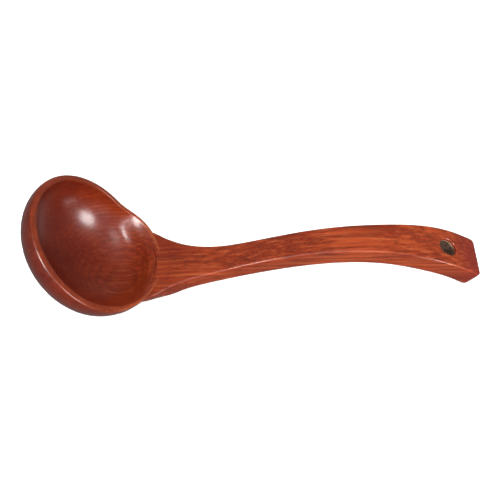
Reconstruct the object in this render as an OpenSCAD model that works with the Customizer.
// A lacquered wooden soup ladle, lying on a table: a round bowl, an S-curved handle glued
// round the bowl's wall with two hidden pegs, and a metal sleeve in the hang hole.
// +X runs from the bowl to the handle's end, +Z is up, and the table is z = 0.

/* [Bowl] */
// Outside radius of the bowl at its widest
bowl_r = 45; // [44:0.5:47]
// Width of the flat lip
lip_w = 4; // [3.5:0.25:6]
// Depth of the bowl's outside, from the rim down to the bottom
bowl_depth = 32; // [29:0.5:36]
// Thickness of the bowl's floor
floor_t = 5; // [3:0.25:8]
// Drop from the rim to the bowl's widest circle
belly_drop = 2.5; // [1.5:0.25:4]
// How far the rim sweeps up at the handle
rim_rise = 12; // [10:0.5:14]
// Angle between the rim and the table while the ladle lies down
bowl_tilt = 48.5; // [47:0.5:50]

/* [Handle] */
// Distance along the table from the bowl's rim centre to the handle's end
handle_reach = 235; // [220:1:260]
// Width of the handle's broad end
tail_w = 26; // [24:0.5:34]
// Radius of the rounded corners at the handle's end
tail_corner = 2.5; // [2:0.5:10]
// Thickness of the handle over its middle
handle_t = 12; // [11:0.25:14]

/* [Hang hole] */
// Radius of the hole through the wood
hole_r = 6; // [4:0.25:7]
// Wall thickness of the metal sleeve in the hole
sleeve_wall = 0.8; // [0.5:0.1:1.5]
// How far each end of the sleeve sits below the wood
sleeve_recess = 1.4; // [0.5:0.1:2.5]
// Share of the handle's reach at which the hole is drilled
hole_place = 0.915; // [0.9:0.005:0.93]

/* [Neck pegs] */
// Radius of each hidden peg
peg_r = 2; // [1.5:0.25:2.25]
// Length of each peg
peg_len = 16; // [12:1:20]
// Distance between the two pegs
peg_pitch = 16; // [12:1:18]
// Length of each peg that is held in the bowl's wall
peg_grip = 2.5; // [1.5:0.25:2.75]

/* [Hidden] */

rosewood = [0.56, 0.23, 0.14];
beech = [0.82, 0.68, 0.48];
old_brass = [0.50, 0.38, 0.28];

arc_steps = 16;       // straight pieces in each arc of the bowl's outline
curve_steps = 5;      // straight pieces in each span of the handle's curve
ring_fn = 96;         // facets that stand for a full circle
rise_start = 0.4;     // share of the bowl's radius at which the rim starts to rise
lean_h = 42;          // height above the belly at which the leaning wall would close
clear = 60;           // more than half the ladle's width
peg_height = 9.5;     // height of the pegs above the table
keel_w = 12;          // width of the neck's underside that stays flat
keel_h = 3;           // height of that flat above the table
keel_curl = 42;       // how gently the underside of the flare curls up beside it
keel_end = 90;        // distance from the rim's centre at which the curl has died out

belly_h = bowl_depth - belly_drop;
cavity_r = bowl_r - lip_w;
cavity_h = bowl_depth - floor_t;

// the tilted bowl touches the table, which sets the height of the rim's centre
rim_height = belly_drop * cos(bowl_tilt)
    + norm([bowl_r * sin(bowl_tilt), belly_h * cos(bowl_tilt)]);
// distance that the bowl reaches back from the rim's centre
bowl_back = belly_drop * sin(bowl_tilt)
    + norm([bowl_r * cos(bowl_tilt), belly_h * sin(bowl_tilt)]);
// the origin is under the middle of the ladle's length
shift_x = (bowl_back - handle_reach) / 2;

// Control points along the handle, from inside the bowl's wall to the end:
// [distance from the rim's centre / reach, height of the top face, half width, thickness]
stations = [
    [0.085, 15.5, 26, handle_t],
    [0.108, 15.5, 26, handle_t],
    [0.128, 15.5, 25.5, handle_t],
    [0.150, 15.5, 23, 0.85 * handle_t],
    [0.207, 16, 14, 0.80 * handle_t],
    [0.305, 17, 9, 0.80 * handle_t],
    [0.442, 28, 8.25, handle_t],
    [0.594, 36, 9.25, 1.02 * handle_t],
    [0.744, 36, 0.38 * tail_w, 1.04 * handle_t],
    [0.870, 29, 0.50 * tail_w, 1.04 * handle_t],
    [0.955, 18.5, 0.51 * tail_w, handle_t],
    [1.000, 0.86 * handle_t, 0.51 * tail_w, 1.08 * handle_t]
];

// a point of the uniform cubic curve over the control points p[i] to p[i + 3]
function curve_point(p, i, t) =
    (pow(1 - t, 3) * p[i] + (3 * pow(t, 3) - 6 * t * t + 4) * p[i + 1]
     + (1 + 3 * t + 3 * t * t - 3 * pow(t, 3)) * p[i + 2] + pow(t, 3) * p[i + 3]) / 6;

// a smooth curve that starts and ends on the outer control points
function curve(c) =
    let (last = len(c) - 1,
         p = concat([2 * c[0] - c[1]], c, [2 * c[last] - c[last - 1]]))
    concat([for (i = [0 : len(p) - 4], s = [0 : curve_steps - 1]) curve_point(p, i, s / curve_steps)],
           [c[last]]);

rail = curve(stations);
rail_end = len(rail) - 1;

function top_at(i) = [rail[i][0] * handle_reach, rail[i][1]];
function along_at(i) =
    let (step = top_at(min(i + 1, rail_end)) - top_at(max(i - 1, 0))) step / norm(step);
function up_at(i) = [-along_at(i)[1], along_at(i)[0]];
// the underside, worn flat where it would pass through the table
function under_at(i) =
    let (p = top_at(i) - rail[i][3] * up_at(i)) [p[0], max(p[1], 0)];

hole_i = [for (i = [1 : rail_end]) if (rail[i][0] >= hole_place && rail[i - 1][0] < hole_place) i][0];
hole_share = (hole_place - rail[hole_i - 1][0]) / (rail[hole_i][0] - rail[hole_i - 1][0]);
hole_mouth = top_at(hole_i - 1) + hole_share * (top_at(hole_i) - top_at(hole_i - 1));
hole_lean = atan2(up_at(hole_i)[0], up_at(hole_i)[1]);
hole_deep = rail[hole_i][3];

function rise_at(x) =
    let (k = max(0, min(1, (x / bowl_r - rise_start) / (1 - rise_start)))) rim_rise * k * k * (3 - 2 * k);

// half of a bowl's outline: a quarter ellipse up to the widest circle, then a leaning wall
module round_form(r, depth, drop, top) {
    rotate_extrude($fn = ring_fn)
        polygon(concat(
            [for (i = [0 : arc_steps]) let (a = 90 * i / arc_steps)
                [r * sin(a), -drop - (depth - drop) * cos(a)]],
            [for (i = [1 : 4]) let (h = (top + drop) * i / 4)
                [r * sqrt(1 - pow(h / lean_h, 2)), h - drop]],
            [[0, top]]));
}

// puts a shape that is drawn round the rim's centre into the lying ladle
module laid() {
    translate([shift_x, 0, rim_height])
        rotate([0, bowl_tilt, 0])
            children();
}

// everything under the swept rim
module under_rim() {
    rotate([90, 0, 0])
        linear_extrude(2 * clear, center = true)
            polygon(concat(
                [[-clear, -clear], [-clear, 0]],
                [for (i = [0 : arc_steps]) let (x = bowl_r * (rise_start + (1 - rise_start) * i / arc_steps))
                    [x, rise_at(x)]],
                [[clear, rim_rise], [clear, -clear]]));
}

module peg_form(side) {
    reach = sqrt(pow(bowl_r, 2) - pow(peg_pitch / 2, 2));
    up_wall = (peg_height - rim_height + reach * sin(bowl_tilt)) / cos(bowl_tilt);
    wall_x = reach * cos(bowl_tilt) + up_wall * sin(bowl_tilt);
    translate([shift_x + wall_x - peg_grip, side * peg_pitch / 2, peg_height])
        rotate([0, 90, 0])
            cylinder(h = peg_len, r = peg_r, $fn = ring_fn);
}

// a cylinder on the hang hole's axis, from depth from_d to depth to_d under the top face
module hole_form(r, from_d, to_d) {
    translate([shift_x + hole_mouth[0], 0, hole_mouth[1]])
        rotate([0, hole_lean, 0])
            translate([0, 0, -to_d])
                cylinder(h = to_d - from_d, r = r, $fn = ring_fn);
}

module bowl() {
    color(rosewood)
        difference() {
            laid()
                intersection() {
                    difference() {
                        round_form(bowl_r, bowl_depth, belly_drop, rim_rise);
                        round_form(cavity_r, cavity_h, 0, rim_rise + 1);
                    }
                    under_rim();
                }
            peg_form(-1);
            peg_form(1);
        }
}

module side_slab() {
    rotate([90, 0, 0])
        linear_extrude(2 * clear, center = true)
            polygon(concat(
                [for (i = [0 : rail_end]) top_at(i)],
                [for (i = [rail_end : -1 : 0]) under_at(i)]));
}

module plan_slab() {
    corner_y = rail[rail_end][2] - tail_corner;
    linear_extrude(2 * clear)
        intersection() {
            polygon(concat(
                [for (i = [0 : rail_end]) [top_at(i)[0], -rail[i][2]]],
                [for (i = [rail_end : -1 : 0]) [top_at(i)[0], rail[i][2]]]));
            union() {
                translate([0, -clear])
                    square([handle_reach - tail_corner, 2 * clear]);
                translate([0, -corner_y])
                    square([handle_reach, 2 * corner_y]);
                for (side = [-1, 1])
                    translate([handle_reach - tail_corner, side * corner_y])
                        circle(r = tail_corner, $fn = ring_fn);
            }
        }
}

// the flare's underside curls up towards its edges, so that it follows the round bowl
module keel_slab() {
    edge = 30;
    rotate([90, 0, 90])
        linear_extrude(keel_end)
            polygon(concat(
                [[-edge, clear]],
                [for (side = [-1, 1], i = [0 : arc_steps])
                    let (y = side > 0 ? i / arc_steps : 1 - i / arc_steps, out = y * (edge - keel_w / 2))
                    [side * (keel_w / 2 + out), keel_h + out * out / keel_curl]],
                [[edge, clear]]));
    translate([keel_end, -clear, 0])
        cube([handle_reach, 2 * clear, clear]);
}

module handle() {
    color(rosewood)
        difference() {
            translate([shift_x, 0, 0])
                intersection() {
                    side_slab();
                    plan_slab();
                    keel_slab();
                }
            laid()
                round_form(bowl_r, bowl_depth, belly_drop, rim_rise);
            hole_form(hole_r, -handle_t, 2 * handle_t);
            peg_form(-1);
            peg_form(1);
        }
}

module hang_eyelet() {
    color(old_brass)
        difference() {
            hole_form(hole_r, sleeve_recess, hole_deep - sleeve_recess);
            hole_form(hole_r - sleeve_wall, 0, hole_deep);
        }
}

module neck_peg_front() {
    color(beech)
        peg_form(-1);
}

module neck_peg_back() {
    color(beech)
        peg_form(1);
}

bowl();
handle();
hang_eyelet();
neck_peg_front();
neck_peg_back();
